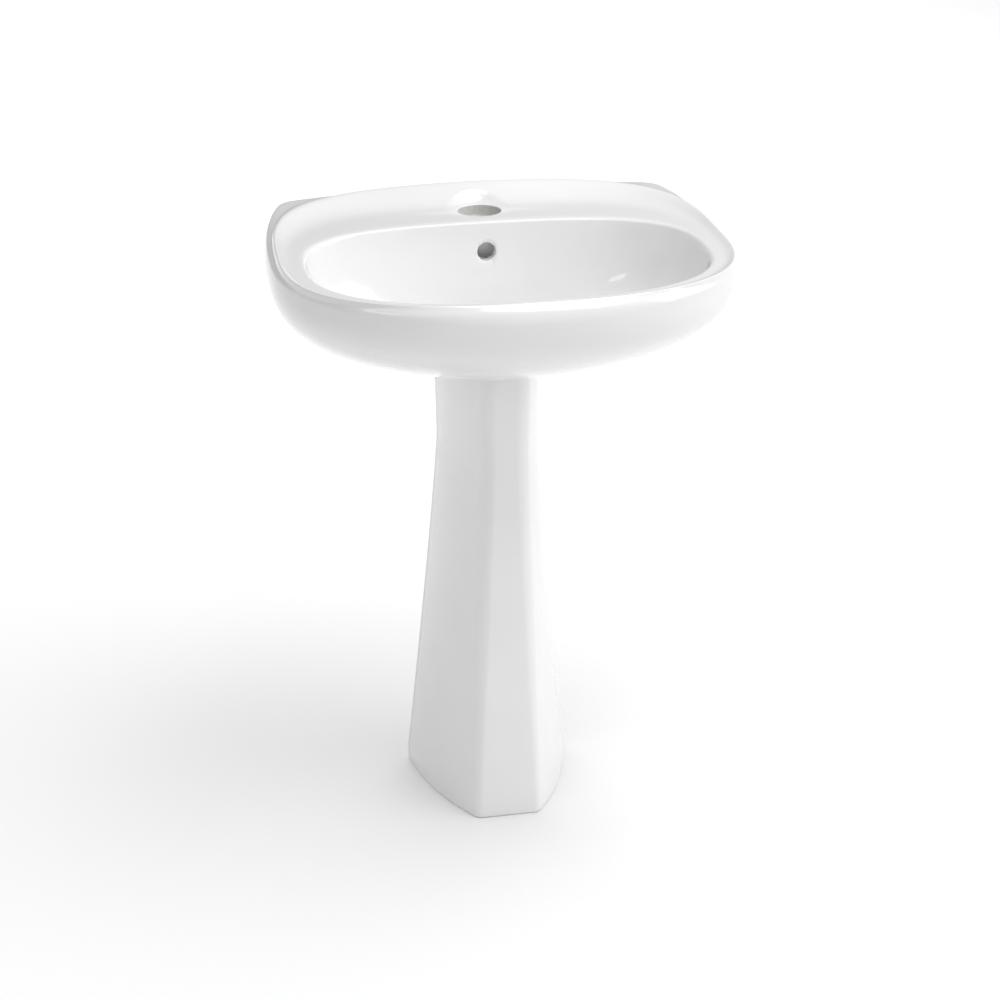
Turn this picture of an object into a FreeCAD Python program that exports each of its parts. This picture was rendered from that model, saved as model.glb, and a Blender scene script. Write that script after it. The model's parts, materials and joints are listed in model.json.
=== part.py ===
import FreeCAD, Part
import math
import os
import re
import Sketcher

# Pedestal sink: a glazed basin that hangs on two wall bolts and rests on a hollow pedestal,
# with a press-to-close waste, a P-shaped trap inside the pedestal and the fixings.
# Frame: +Z up, floor at Z = 0, X = 0 is the symmetry plane, the room side is -Y.
# The wall plane stands at Y = wall_y, so a point "d" millimetres out from the wall is at
# Y = wall_y - d.  The origin lies under the middle of the overall bounding box.

os.makedirs("parts", exist_ok=True)
doc = FreeCAD.newDocument("pedestal_sink")
sheet = doc.addObject("Spreadsheet::Sheet", "sizes")

DRIVING = [
    # basin
    ("basin_width", "600"),
    ("basin_depth", "485"),
    ("lip_height", "833"),
    ("back_height", "858"),
    ("skin", "12"),
    ("back_wall", "14"),
    # basin holes
    ("tap_from_wall", "72"),
    ("tap_hole", "35"),
    ("overflow_hole", "25"),
    ("overflow_height", "792.5"),
    ("channel_width", "28"),
    ("channel_depth", "14"),
    ("tap_recess_dia", "59"),
    ("tap_recess_depth", "17"),
    ("tap_wall", "15"),
    # wall fixing
    ("bolt_spacing", "280"),
    ("bolt_height", "776"),
    ("bolt_dia", "8"),
    ("bolt_screw_dia", "7"),
    ("bolt_reach", "60"),
    ("bolt_hole", "14"),
    # waste
    ("drain_from_wall", "200"),
    ("seat_height", "688"),
    ("boss_height", "24"),
    ("boss_dia", "66"),
    ("drain_hole", "46"),
    ("flange_dia", "64"),
    ("thread_dia", "41.8"),
    ("waste_bore", "35"),
    ("stopper_dia", "58"),
    ("stopper_travel", "9"),
    ("stem_dia", "8"),
    # pedestal
    ("foot_width", "236"),
    ("foot_front", "280"),
    ("foot_depth", "188"),
    ("pedestal_wall", "12"),
    ("pedestal_top", "684"),
    ("screw_spacing", "150"),
    ("screw_from_wall", "150"),
    ("screw_hole", "7"),
    ("lug_height", "16"),
    # trap
    ("pipe_dia", "32"),
    ("pipe_wall", "2"),
    ("spigot_dia", "31"),
    ("bend_radius", "38"),
    ("bend_height", "480"),
    ("outlet_height", "560"),
]
DERIVED = [
    ("wall_y", "=(basin_depth - bolt_reach) / 2"),
    ("drain_y", "=wall_y - drain_from_wall"),
    ("boss_bottom", "=seat_height - boss_height"),
    ("flange_under", "=seat_height + 1.5"),
    ("flange_top", "=flange_under + 2.5"),
    ("waste_end", "=boss_bottom - 36"),
    ("bore_top", "=waste_bore / 2 + 4.5"),
    ("tap_seat", "=lip_height + 3 - tap_recess_depth"),
    ("channel_floor", "=boss_bottom + 8"),
    ("guide_low", "=boss_bottom - 10"),
    ("stem_collar", "=guide_low + 30"),
    ("cap_low", "=flange_top + stopper_travel + 0.3"),
    ("inlet_leg_top", "=bend_height + 80"),
    ("outlet_leg_top", "=bend_height + 20"),
    ("outlet_leg_y", "=drain_y + 2 * bend_radius"),
]
for row, (name, value) in enumerate(DRIVING + DERIVED, start=1):
    sheet.set("A%d" % row, name)
    sheet.set("B%d" % row, value)
    sheet.setAlias("B%d" % row, name)
doc.recompute()


def size(name):
    """One number from the sheet."""
    return float(getattr(sheet, name))


nodes = {}


# ---------------------------------------------------------------- free-form surfaces
# The glazed castings have no flat sketch behind them.  The basin skin is one smooth surface
# drawn through a family of plan ovals, each with its own height around the rim.

class Oval:
    """A closed plan curve: superelliptic, with its own front, side and rear heights."""

    def __init__(self, half, front, rear, centre, front_power, rear_power, heights,
                 wall=None, height_power=1.5):
        self.half = half
        self.front = front
        self.rear = rear
        self.centre = centre
        self.front_power = front_power
        self.rear_power = rear_power
        self.heights = heights
        self.wall = wall
        self.height_power = height_power

    def points(self, angles):
        """Points (x, distance from the wall, height) at the given plan angles."""
        result = []
        for angle in angles:
            result.append(self.point(angle))
        return result

    def point(self, angle):
        across = math.cos(angle)
        back = math.sin(angle)
        if back >= 0:
            reach = self.centre - self.rear
            power = self.rear_power
        else:
            reach = self.front - self.centre
            power = self.front_power
        radius = (abs(across / self.half) ** power + abs(back / reach) ** power) ** (-1.0 / power)
        if self.wall is not None and back > 0:
            sharp = 44.0
            to_wall = (self.centre - self.wall) / back
            radius = (radius ** -sharp + to_wall ** -sharp) ** (-1.0 / sharp)
        front_height, side_height, rear_height = self.heights
        if back >= 0:
            height = side_height + (rear_height - side_height) * back ** self.height_power
        else:
            height = side_height + (front_height - side_height) * (-back) ** 1.2
        return (radius * across, self.centre - radius * back, height)


def plan_angles():
    """Plan angles of the surface's columns, closer together round the two rear corners."""
    corner = math.radians(37.0)
    spread = 0.12
    spans = [
        (corner + spread, math.pi - corner - spread, 16),
        (math.pi - corner - spread, math.pi - corner + spread, 8),
        (math.pi - corner + spread, 2 * math.pi + corner - spread, 44),
        (2 * math.pi + corner - spread, 2 * math.pi + corner + spread, 8),
    ]
    angles = []
    for start, end, count in spans:
        for step in range(count):
            angles.append(start + (end - start) * step / count)
    return angles


def between(first, second, share, lift=0.0, height_share=None):
    """A rail part of the way from one curve to another."""
    if height_share is None:
        height_share = share
    rail = []
    for a, b in zip(first, second):
        rail.append((
            a[0] + (b[0] - a[0]) * share,
            a[1] + (b[1] - a[1]) * share,
            a[2] + (b[2] - a[2]) * height_share + lift,
        ))
    return rail


def inset(curve, distance, height=None, lift=0.0):
    """The curve moved inwards in plan by a distance (outwards if negative)."""
    count = len(curve)
    rail = []
    for index, (x, d, z) in enumerate(curve):
        x0, d0, _ = curve[index - 1]
        x1, d1, _ = curve[(index + 1) % count]
        length = math.hypot(x1 - x0, d1 - d0)
        inward_x = (d1 - d0) / length
        inward_d = -(x1 - x0) / length
        new_height = z + lift
        if height is not None:
            new_height = height
        rail.append((x + inward_x * distance, d + inward_d * distance, new_height))
    return rail


def at_height(curve, height):
    """The same plan curve laid flat at one height."""
    return [(x, d, height) for x, d, _ in curve]


def skin_surface(rails):
    """A cubic surface with these rails as its rows of poles, closed around."""
    wall_y = size("wall_y")
    rows = []
    for rail in rails:
        rows.append([FreeCAD.Vector(x, wall_y - d, z) for x, d, z in rail])
    row_count = len(rows)
    column_count = len(rows[0])
    poles = []
    for column in range(column_count):
        poles.append([rows[row][column] for row in range(row_count)])
    around_knots = [float(k) for k in range(column_count + 1)]
    around_mults = [1] * (column_count + 1)
    along_knots = [float(k) for k in range(row_count - 2)]
    along_mults = [4] + [1] * (row_count - 4) + [4]
    surface = Part.BSplineSurface()
    surface.buildFromPolesMultsKnots(
        poles, around_mults, along_mults, around_knots, along_knots, True, False, 3, 3)
    return surface


def closed_solid(rails):
    """The solid inside a skin whose first and last rails are flat curves."""
    side = skin_surface(rails).toShape()
    faces = [side]
    for edge in side.Edges:
        if edge.isClosed() and not edge.isSeam(side):
            faces.append(Part.Face(Part.Wire([edge])))
    shell = Part.makeShell(faces)
    shell.sewShape()
    solid = Part.makeSolid(Part.Shell(shell.Faces))
    if solid.Volume < 0:
        solid.reverse()
    return solid


ANGLES = plan_angles()
half_width = size("basin_width") / 2
depth = size("basin_depth")
lip = size("lip_height")
back = size("back_height")
seat = size("seat_height")
drain_d = size("drain_from_wall")

seat_edge = Oval(37, drain_d + 37, drain_d - 37, drain_d, 2, 2, (seat, seat, seat)).points(ANGLES)
bowl_edge = Oval(half_width - 42, depth - 22, 126, 281, 2.5, 3.0,
                 (lip, lip, lip + 1.5)).points(ANGLES)
crest = Oval(half_width - 12, depth - 14, 4, 256, 2.8, 3.4,
             (lip, lip + 6, back + 1), wall=5, height_power=1.35).points(ANGLES)
shoulder = Oval(half_width - 2.5, depth - 3, -179, 220, 2.65, 2.35,
                (lip - 12, lip - 8, back - 5), wall=-2, height_power=1.15).points(ANGLES)
body = Oval(half_width + 0.5, depth + 0.5, -179, 220, 2.5, 2.35,
            (lip - 32, lip - 30, lip - 10), wall=-2, height_power=1.15).points(ANGLES)
belly = Oval(half_width * 0.73, depth * 0.84, -90, 215, 1.85, 2.4,
             (lip - 120, lip - 127, lip - 127), wall=-2).points(ANGLES)
ring_height = size("boss_bottom")
ring = Oval(60, drain_d + 52, 30, 190, 2.0, 2.2,
            (ring_height, ring_height, ring_height)).points(ANGLES)



def step_rail(share, ridge_share, front_share):
    """A rail between crest and shoulder, where the step below the crest fades out at the front."""
    rail = []
    for angle, a, b in zip(ANGLES, crest, shoulder):
        forward = min(1.0, max(0.0, (-math.sin(angle) - 0.6) / 0.3))
        height_share = ridge_share + (front_share - ridge_share) * forward
        rail.append((
            a[0] + (b[0] - a[0]) * share,
            a[1] + (b[1] - a[1]) * share,
            a[2] + (b[2] - a[2]) * height_share,
        ))
    return rail


# Outer skin, from the drain seat up the bowl, over the rim and down the belly.
bowl_rails = [
    seat_edge,
    between(seat_edge, bowl_edge, 0.05, height_share=0.003),
    between(seat_edge, bowl_edge, 0.27, height_share=0.045),
    between(seat_edge, bowl_edge, 0.55, height_share=0.145),
    between(seat_edge, bowl_edge, 0.82, height_share=0.35),
    between(seat_edge, bowl_edge, 0.94, height_share=0.66),
    between(seat_edge, bowl_edge, 0.975, height_share=0.90),
    between(seat_edge, bowl_edge, 0.985, height_share=0.975),
    bowl_edge,
]
rim_rails = [
    between(bowl_edge, crest, 0.18, height_share=0.01),
    between(bowl_edge, crest, 0.38, height_share=0.02),
    between(bowl_edge, crest, 0.62, height_share=0.04),
    between(bowl_edge, crest, 0.80, height_share=0.42),
    between(bowl_edge, crest, 0.94, height_share=0.94),
    crest,
    step_rail(0.12, 0.15, 0.05),
    step_rail(0.24, 0.46, 0.14),
    step_rail(0.40, 0.60, 0.30),
    step_rail(0.75, 0.78, 0.62),
    shoulder,
]
belly_rails = [
    between(shoulder, body, 0.9, height_share=0.45),
    body,
    between(body, belly, 0.03, height_share=0.18),
    between(body, belly, 0.13, height_share=0.41),
    between(body, belly, 0.44, height_share=0.71),
    belly,
    between(belly, ring, 0.42, height_share=0.48),
    between(belly, ring, 0.78, height_share=0.80),
    ring,
]

# The hollow behind and under the bowl is the inside of the belly less the thickened bowl.
skin = size("skin")
boss = size("boss_dia") / 2
boss_low = size("boss_bottom")
roof = lip - 20


def inside(curve, distance, height=None, lift=0.0):
    """An inset rail that keeps the flat back wall at its full thickness."""
    nearest = size("back_wall")
    return [(x, max(d, nearest), z) for x, d, z in inset(curve, distance, height, lift)]


inner_rails = [
    inside(body, skin + 12, roof),
    inside(body, skin + 6, roof),
    inside(body, skin + 2, roof - 4),
    inside(body, skin + 1, roof - 14),
    inside(between(body, belly, 0.02), skin + 1, lip - 44),
    inside(between(body, belly, 0.13, height_share=0.41), skin, lift=skin * 0.1),
    inside(between(body, belly, 0.44, height_share=0.71), skin * 0.9, lift=skin * 0.4),
    inside(belly, skin * 0.65, lift=skin * 0.75),
    inside(between(belly, ring, 0.42, height_share=0.48), skin * 0.5, lift=skin * 0.85),
    inside(between(belly, ring, 0.78, height_share=0.80), skin * 0.6, lift=skin * 0.8),
    inside(ring, skin * 0.9, ring_height + 11),
    inside(ring, skin, ring_height + 5),
    inside(ring, skin, ring_height - 5),
    inside(ring, skin, ring_height - 14),
]
boss_curve = Oval(boss, drain_d + boss, drain_d - boss, drain_d, 2, 2,
                  (boss_low, boss_low, boss_low)).points(ANGLES)
thick_bowl_rails = [
    inset(bowl_edge, -skin, lip + 12),
    inset(bowl_edge, -skin),
    inset(between(seat_edge, bowl_edge, 0.975, height_share=0.90), -skin),
    inset(between(seat_edge, bowl_edge, 0.94, height_share=0.64), -skin * 0.9),
    inset(between(seat_edge, bowl_edge, 0.82, height_share=0.35), -skin * 0.7, lift=-skin * 0.6),
    inset(between(seat_edge, bowl_edge, 0.55, height_share=0.145), -skin * 0.2, lift=-skin),
    inset(between(seat_edge, bowl_edge, 0.27, height_share=0.045), 0, lift=-skin * 1.1),
    inset(boss_curve, -6, boss_low + 12),
    inset(boss_curve, -1, boss_low + 10),
    boss_curve,
]


def pedestal_section(height, wall):
    """One level outline of the pedestal, moved inwards by a wall thickness."""
    taper = max(0.0, 1 - max(0.0, height - 24) / 510.0) ** 1.12
    flare = 0.03 * (max(0.0, height - 510) / 140.0) ** 2
    width_share = (0.60 + 0.40 * taper) * (1 + flare)
    depth_share = 0.80 + 0.20 * taper
    middle = 220.0
    front = middle + (size("foot_front") - middle) * depth_share - wall
    rear = middle - (size("foot_depth") - size("foot_front") + middle) * depth_share + wall
    flat = 44.5 * width_share - wall * 0.4
    rear_half = size("foot_width") / 2 * width_share - wall * 1.05
    bulge = 14.0 * width_share
    chord = math.hypot(rear_half - flat, front - rear)
    out_x = (front - rear) / chord
    out_d = (rear_half - flat) / chord

    def side(share):
        swell = 4 * bulge * share * (1 - share)
        return (flat + (rear_half - flat) * share + out_x * swell,
                front + (rear - front) * share + out_d * swell)

    # The crease beside the flat front is tight at the foot and softens towards the top.
    softness = 1 - taper
    crease_start = flat - 5 - 7 * softness
    near = side(0.05 + 0.06 * softness)
    crease = (0.25 * crease_start + 0.5 * flat + 0.25 * near[0], 0.75 * front + 0.25 * near[1])
    middle_point = side(0.5)
    far = side(0.96)
    right = [
        ("line", (0.0, front), (crease_start, front)),
        ("arc", (crease_start, front), crease, near),
        ("arc", near, middle_point, far),
        ("arc", far, (rear_half - 0.6, rear + 1.4), (rear_half - 4, rear)),
        ("line", (rear_half - 4, rear), (0.0, rear)),
    ]
    wall_y = size("wall_y")
    edges = []
    for sign, pieces in ((1, right), (-1, reversed(right))):
        for kind, *points in pieces:
            corners = [FreeCAD.Vector(sign * x, wall_y - d, height) for x, d in points]
            if sign < 0:
                corners.reverse()
            if kind == "line":
                edges.append(Part.makeLine(corners[0], corners[1]))
            else:
                edges.append(Part.Arc(*corners).toShape())
    return Part.Wire(edges)


def pedestal_solid(wall, low, high):
    """The solid inside the pedestal outline between two heights."""
    levels = [0, 12, 24, 60, 150, 260, 370, 460, 530, 610, high]
    levels[0] = low
    return Part.makeLoft([pedestal_section(level, wall) for level in levels], True, False)


def free_form(name, shape):
    """A free-form solid as a document object."""
    feature = doc.addObject("Part::Feature", name)
    feature.Shape = shape
    return feature


# ---------------------------------------------------------------- bound building blocks
ALIASES = sorted((name for name, _ in DRIVING + DERIVED), key=len, reverse=True)


def from_sheet(formula):
    """The formula with every sheet name written as a reference to the sheet."""
    words = re.split(r"(\w+)", str(formula))
    return "".join("sizes." + word if word in ALIASES else word for word in words)


def bind(feature, **formulas):
    """Tie properties to sheet formulas; a double underscore stands for a dot."""
    for name, formula in formulas.items():
        feature.setExpression(name.replace("__", "."), from_sheet(formula))


def place(feature, x, y, z, axis="Z"):
    """Put a primitive at a bound position, its own Z turned along the named axis."""
    turns = {
        "Z": FreeCAD.Rotation(),
        "Y": FreeCAD.Rotation(FreeCAD.Vector(1, 0, 0), -90),
        "-Y": FreeCAD.Rotation(FreeCAD.Vector(1, 0, 0), 90),
        "X": FreeCAD.Rotation(FreeCAD.Vector(0, 1, 0), 90),
    }
    feature.Placement = FreeCAD.Placement(FreeCAD.Vector(0, 0, 0), turns[axis])
    bind(feature, Placement__Base__x=x, Placement__Base__y=y, Placement__Base__z=z)


def cylinder(name, radius, height, x, y, z, axis="Z"):
    feature = doc.addObject("Part::Cylinder", name)
    bind(feature, Radius=radius, Height=height)
    place(feature, x, y, z, axis)
    return feature


def cone(name, radius1, radius2, height, x, y, z, axis="Z"):
    feature = doc.addObject("Part::Cone", name)
    bind(feature, Radius1=radius1, Radius2=radius2, Height=height)
    place(feature, x, y, z, axis)
    return feature


def box(name, length, width, height, x, y, z):
    """A box whose x and y are the middle of its plan and z its underside."""
    feature = doc.addObject("Part::Box", name)
    bind(feature, Length=length, Width=width, Height=height)
    place(feature, "(%s) - (%s) / 2" % (x, length), "(%s) - (%s) / 2" % (y, width), z)
    return feature


def hexagon(name, across_flats, height, x, y, z, axis="Z", turn=0):
    """A hexagonal prism, turned by some degrees about its own vertical axis."""
    feature = doc.addObject("Part::Prism", name)
    feature.Polygon = 6
    bind(feature, Circumradius="(%s) / 1.7320508" % across_flats, Height=height)
    place(feature, x, y, z, axis)
    if turn:
        spin = FreeCAD.Rotation(FreeCAD.Vector(0, 0, 1), turn)
        feature.Placement = FreeCAD.Placement(feature.Placement.Base, spin)
    return feature


def bend(name, tube_radius, x, y, z, start, sweep):
    """Part of a torus in the YZ plane; start is measured from straight down towards +Y."""
    feature = doc.addObject("Part::Torus", name)
    bind(feature, Radius1="bend_radius", Radius2=tube_radius)
    feature.Angle1 = -180
    feature.Angle2 = 180
    feature.Angle3 = sweep
    upright = FreeCAD.Rotation(FreeCAD.Vector(0, 1, 0), 90)
    about_x = FreeCAD.Rotation(FreeCAD.Vector(1, 0, 0), start)
    feature.Placement = FreeCAD.Placement(FreeCAD.Vector(0, 0, 0), about_x.multiply(upright))
    bind(feature, Placement__Base__x=x, Placement__Base__y=y, Placement__Base__z=z)
    return feature


def cut(name, base, tool):
    feature = doc.addObject("Part::Cut", name)
    feature.Base = base
    feature.Tool = tool
    return feature


def common(name, base, tool):
    feature = doc.addObject("Part::Common", name)
    feature.Base = base
    feature.Tool = tool
    return feature


def fuse(name, shapes):
    feature = doc.addObject("Part::MultiFuse", name)
    feature.Shapes = shapes
    return feature


def mirrored(name, source):
    """The same piece on the other side of the symmetry plane."""
    feature = doc.addObject("Part::Mirroring", name)
    feature.Source = source
    feature.Normal = FreeCAD.Vector(1, 0, 0)
    return feature


def pair(name, right):
    """A left and a right piece kept as two separate solids in one node."""
    feature = doc.addObject("Part::Compound", name)
    feature.Links = [right, mirrored(name + "_left", right)]
    return feature


def number(formula):
    """The present value of a sheet formula."""
    return float(sheet.evalExpression(from_sheet(formula)))


def turned(name, outline, y="drain_y"):
    """A turned piece: a closed outline of (radius, height) formulas spun about a vertical axis."""
    body_object = doc.addObject("PartDesign::Body", name)
    sketch = body_object.newObject("Sketcher::SketchObject", name + "_outline")
    for plane in body_object.Origin.OriginFeatures:
        if plane.Role == "XZ_Plane":
            sketch.AttachmentSupport = [(plane, "")]
    sketch.MapMode = "FlatFace"
    values = []
    for radius, height in outline:
        values.append((number(radius), number(height)))
    count = len(values)
    for index in range(count):
        r0, z0 = values[index]
        r1, z1 = values[(index + 1) % count]
        sketch.addGeometry(Part.LineSegment(FreeCAD.Vector(r0, z0, 0), FreeCAD.Vector(r1, z1, 0)))
    for index in range(count):
        sketch.addConstraint(
            Sketcher.Constraint("Coincident", index, 2, (index + 1) % count, 1))
    for index, (radius, height) in enumerate(outline):
        if values[index][0] == 0:
            sketch.addConstraint(Sketcher.Constraint("PointOnObject", index, 1, -2))
        else:
            row = sketch.addConstraint(
                Sketcher.Constraint("DistanceX", -1, 1, index, 1, values[index][0]))
            sketch.setExpression("Constraints[%d]" % row, from_sheet(radius))
        row = sketch.addConstraint(
            Sketcher.Constraint("DistanceY", -1, 1, index, 1, values[index][1]))
        sketch.setExpression("Constraints[%d]" % row, from_sheet(height))
    spun = body_object.newObject("PartDesign::Revolution", name + "_spun")
    spun.Profile = sketch
    spun.ReferenceAxis = (sketch, ["V_Axis"])
    spun.Angle = 360
    body_object.Tip = spun
    bind(body_object, Placement__Base__y=y)
    return body_object


# ---------------------------------------------------------------- basin
filled = free_form("basin_filled", closed_solid(bowl_rails + rim_rails + belly_rails))
belly_inside = free_form("basin_belly_inside", closed_solid(inner_rails))
bowl_thick = free_form("basin_bowl_thickened", closed_solid(thick_bowl_rails))

space = cut("basin_space", belly_inside, bowl_thick)
hollow_zone = box("basin_hollow_zone", "basin_width", "basin_depth - 155", "250",
                  "0", "wall_y - (basin_depth - 155) / 2", "boss_bottom - 40")
space_behind = common("basin_space_behind", space, hollow_zone)
channel_wall = box("basin_channel_wall", "channel_width + 14", "68",
                   "overflow_height - boss_bottom + 22", "0", "wall_y - 128", "boss_bottom - 4")
channel_foot = box("basin_channel_foot", "channel_width + 14", "100", "44",
                   "0", "wall_y - 144", "boss_bottom - 4")
channel_casing = fuse("basin_channel_casing", [channel_wall, channel_foot])
tap_boss = cylinder("basin_tap_boss", "36", "30",
                    "0", "wall_y - tap_from_wall", "tap_seat - tap_wall")
kept_solid = fuse("basin_kept_solid", [channel_casing, tap_boss])
hollow = cut("basin_hollow", space_behind, kept_solid)

behind_wall = box("basin_behind_wall", "2 * basin_width", "40", "back_height",
                  "0", "wall_y + 20", "back_height / 2")
drain_bore = cylinder("basin_drain_bore", "drain_hole / 2", "boss_height + 20",
                      "0", "drain_y", "boss_bottom - 10")
tap_bore = cylinder("basin_tap_bore", "tap_hole / 2", "60",
                    "0", "wall_y - tap_from_wall", "lip_height - 40")
tap_recess = cylinder("basin_tap_recess", "tap_recess_dia / 2", "tap_recess_depth + 30",
                      "0", "wall_y - tap_from_wall", "tap_seat")
overflow_bore = cylinder("basin_overflow_bore", "overflow_hole / 2", "70",
                         "0", "wall_y - 172", "overflow_height", "Y")
channel_drop = box("basin_channel_drop", "channel_width", "channel_depth",
                   "overflow_height - channel_floor + 8",
                   "0", "wall_y - 100 - channel_depth / 2", "channel_floor")
channel_run = box("basin_channel_run", "channel_width", "drain_from_wall - 112", "10",
                  "0", "wall_y - 100 - (drain_from_wall - 112) / 2", "channel_floor")
bolt_hole_right = cylinder("basin_bolt_hole", "bolt_hole / 2", "60",
                           "bolt_spacing / 2", "wall_y - 40", "bolt_height", "Y")
bolt_hole_left = mirrored("basin_bolt_hole_left", bolt_hole_right)
service_opening = box("basin_service_opening", "bolt_spacing + 70", "74", "110",
                      "0", "wall_y - back_wall - 38", "boss_bottom - 30")
openings = fuse("basin_openings", [
    behind_wall, drain_bore, tap_bore, tap_recess, overflow_bore, channel_drop, channel_run,
    bolt_hole_right, bolt_hole_left, service_opening,
])
hollowed = cut("basin_hollowed", filled, hollow)
nodes["basin"] = cut("basin", hollowed, openings)

# ---------------------------------------------------------------- pedestal
outside = free_form("pedestal_outside", pedestal_solid(0, 0, size("pedestal_top")))
inside_space = free_form(
    "pedestal_inside", pedestal_solid(size("pedestal_wall"), -5, size("pedestal_top") + 5))
lug_right = box("pedestal_lug", "52", "34", "lug_height + 5",
                "screw_spacing / 2 + 8", "wall_y - screw_from_wall", "-5")
lugs = fuse("pedestal_lugs", [lug_right, mirrored("pedestal_lug_left", lug_right)])
room_inside = cut("pedestal_room_inside", inside_space, lugs)
rear_gap = doc.addObject("Part::Wedge", "pedestal_rear_gap")
rear_gap.Placement = FreeCAD.Placement(
    FreeCAD.Vector(0, 0, 0), FreeCAD.Rotation(FreeCAD.Vector(1, 0, 0), 90))
bind(rear_gap, Xmin="-foot_width * 0.36", Xmax="foot_width * 0.36",
     X2min="-foot_width * 0.17", X2max="foot_width * 0.17",
     Ymin="-5", Ymax="pedestal_top + 5", Zmin="0", Zmax="86", Z2min="0", Z2max="86",
     Placement__Base__y="wall_y - 45")
screw_hole_right = cylinder("pedestal_screw_hole", "screw_hole / 2", "lug_height + 20",
                            "screw_spacing / 2", "wall_y - screw_from_wall", "-10")
screw_holes = fuse("pedestal_screw_holes", [
    screw_hole_right, mirrored("pedestal_screw_hole_left", screw_hole_right)])
pedestal_voids = fuse("pedestal_voids", [room_inside, rear_gap, screw_holes])
pedestal_shell = cut("pedestal_shell", outside, pedestal_voids)
nodes["pedestal"] = cut("pedestal", pedestal_shell, filled)

# ---------------------------------------------------------------- wall fixing
bolt_x = "bolt_spacing / 2"
bush_tube = cylinder("bush_tube", "bolt_hole / 2 - 0.1", "back_wall",
                     bolt_x, "wall_y - back_wall", "bolt_height", "Y")
bush_collar = cylinder("bush_collar", "11", "3", bolt_x, "wall_y - back_wall - 3",
                       "bolt_height", "Y")
bush_hole = cylinder("bush_hole", "bolt_dia / 2 + 0.1", "back_wall + 10",
                     bolt_x, "wall_y - back_wall - 5", "bolt_height", "Y")
bush = cut("bush", fuse("bush_body", [bush_tube, bush_collar]), bush_hole)
nodes["hanger_bushes"] = pair("hanger_bushes", bush)

washer_plate = cylinder("washer_plate", "11.5", "2", bolt_x, "wall_y - back_wall - 5",
                        "bolt_height", "Y")
washer_hole = cylinder("washer_hole", "bolt_dia / 2 + 0.3", "6", bolt_x,
                       "wall_y - back_wall - 7", "bolt_height", "Y")
nodes["hanger_washers"] = pair("hanger_washers", cut("washer", washer_plate, washer_hole))

nut_block = hexagon("nut_block", "13", "6.5", bolt_x, "wall_y - back_wall - 11.5",
                    "bolt_height", "Y")
nut_corners = cone("nut_corners", "6.6", "11", "6.5", bolt_x, "wall_y - back_wall - 11.5",
                   "bolt_height", "Y")
nut_shape = common("nut_shape", nut_block, nut_corners)
nut_hole = cylinder("nut_hole", "bolt_dia / 2 + 0.05", "20", bolt_x,
                    "wall_y - back_wall - 20", "bolt_height", "Y")
nodes["hanger_nuts"] = pair("hanger_nuts", cut("nut", nut_shape, nut_hole))

bolt_shank = cylinder("bolt_shank", "bolt_dia / 2", "back_wall + 18",
                      bolt_x, "wall_y - back_wall - 18", "bolt_height", "Y")
bolt_neck = cone("bolt_neck", "bolt_dia / 2", "bolt_screw_dia / 2", "4", bolt_x,
                 "wall_y", "bolt_height", "Y")
bolt_screw = cylinder("bolt_screw", "bolt_screw_dia / 2", "bolt_reach - 16", bolt_x,
                      "wall_y + 4", "bolt_height", "Y")
bolt_point = cone("bolt_point", "bolt_screw_dia / 2", "0.5", "12", bolt_x,
                  "wall_y + bolt_reach - 12", "bolt_height", "Y")
bolt_end = cone("bolt_end", "bolt_dia / 2 - 1", "bolt_dia / 2", "1", bolt_x,
                "wall_y - back_wall - 19", "bolt_height", "Y")
bolt = fuse("bolt", [bolt_shank, bolt_neck, bolt_screw, bolt_point, bolt_end])
nodes["hanger_bolts"] = pair("hanger_bolts", bolt)

# ---------------------------------------------------------------- waste
thread = "thread_dia / 2"
bore = "waste_bore / 2"
waste_plain = turned("waste_plain", [
    (bore, "waste_end"),
    (thread, "waste_end"),
    (thread, "flange_under"),
    ("flange_dia / 2", "flange_under"),
    ("flange_dia / 2", "flange_under + 1"),
    ("flange_dia / 2 - 3", "flange_top"),
    ("bore_top", "flange_top"),
    (bore, "flange_top - 4"),
])
slot_across = box("waste_slot_across", "60", "14", "10", "0", "drain_y", "channel_floor")
slot_along = box("waste_slot_along", "14", "60", "10", "0", "drain_y", "channel_floor")
waste_slots = fuse("waste_slots", [slot_across, slot_along])
nodes["waste_body"] = cut("waste_body", waste_plain, waste_slots)

nodes["flange_gasket"] = turned("flange_gasket", [
    ("drain_hole / 2 + 0.5", "seat_height"),
    ("flange_dia / 2 - 1", "seat_height"),
    ("flange_dia / 2 - 1", "flange_under"),
    ("drain_hole / 2 + 0.5", "flange_under"),
])
nodes["lower_gasket"] = turned("lower_gasket", [
    (thread + " + 0.05", "boss_bottom - 8"),
    ("boss_dia / 2 - 2", "boss_bottom - 8"),
    ("boss_dia / 2 - 2", "boss_bottom - 4"),
    ("drain_hole / 2 + 5", "boss_bottom"),
    (thread + " + 0.05", "boss_bottom"),
])
nodes["waste_washer"] = turned("waste_washer", [
    (thread + " + 0.3", "boss_bottom - 10"),
    ("boss_dia / 2 - 3", "boss_bottom - 10"),
    ("boss_dia / 2 - 3", "boss_bottom - 8"),
    (thread + " + 0.3", "boss_bottom - 8"),
])
locknut_block = hexagon("locknut_block", "54", "9", "0", "drain_y", "boss_bottom - 19")
locknut_round = cone("locknut_round", "29", "36", "9", "0", "drain_y", "boss_bottom - 19")
locknut_hole = cylinder("locknut_hole", thread + " + 0.05", "20", "0", "drain_y",
                        "boss_bottom - 25")
nodes["waste_nut"] = cut(
    "waste_nut", common("locknut_shape", locknut_block, locknut_round), locknut_hole)

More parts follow.
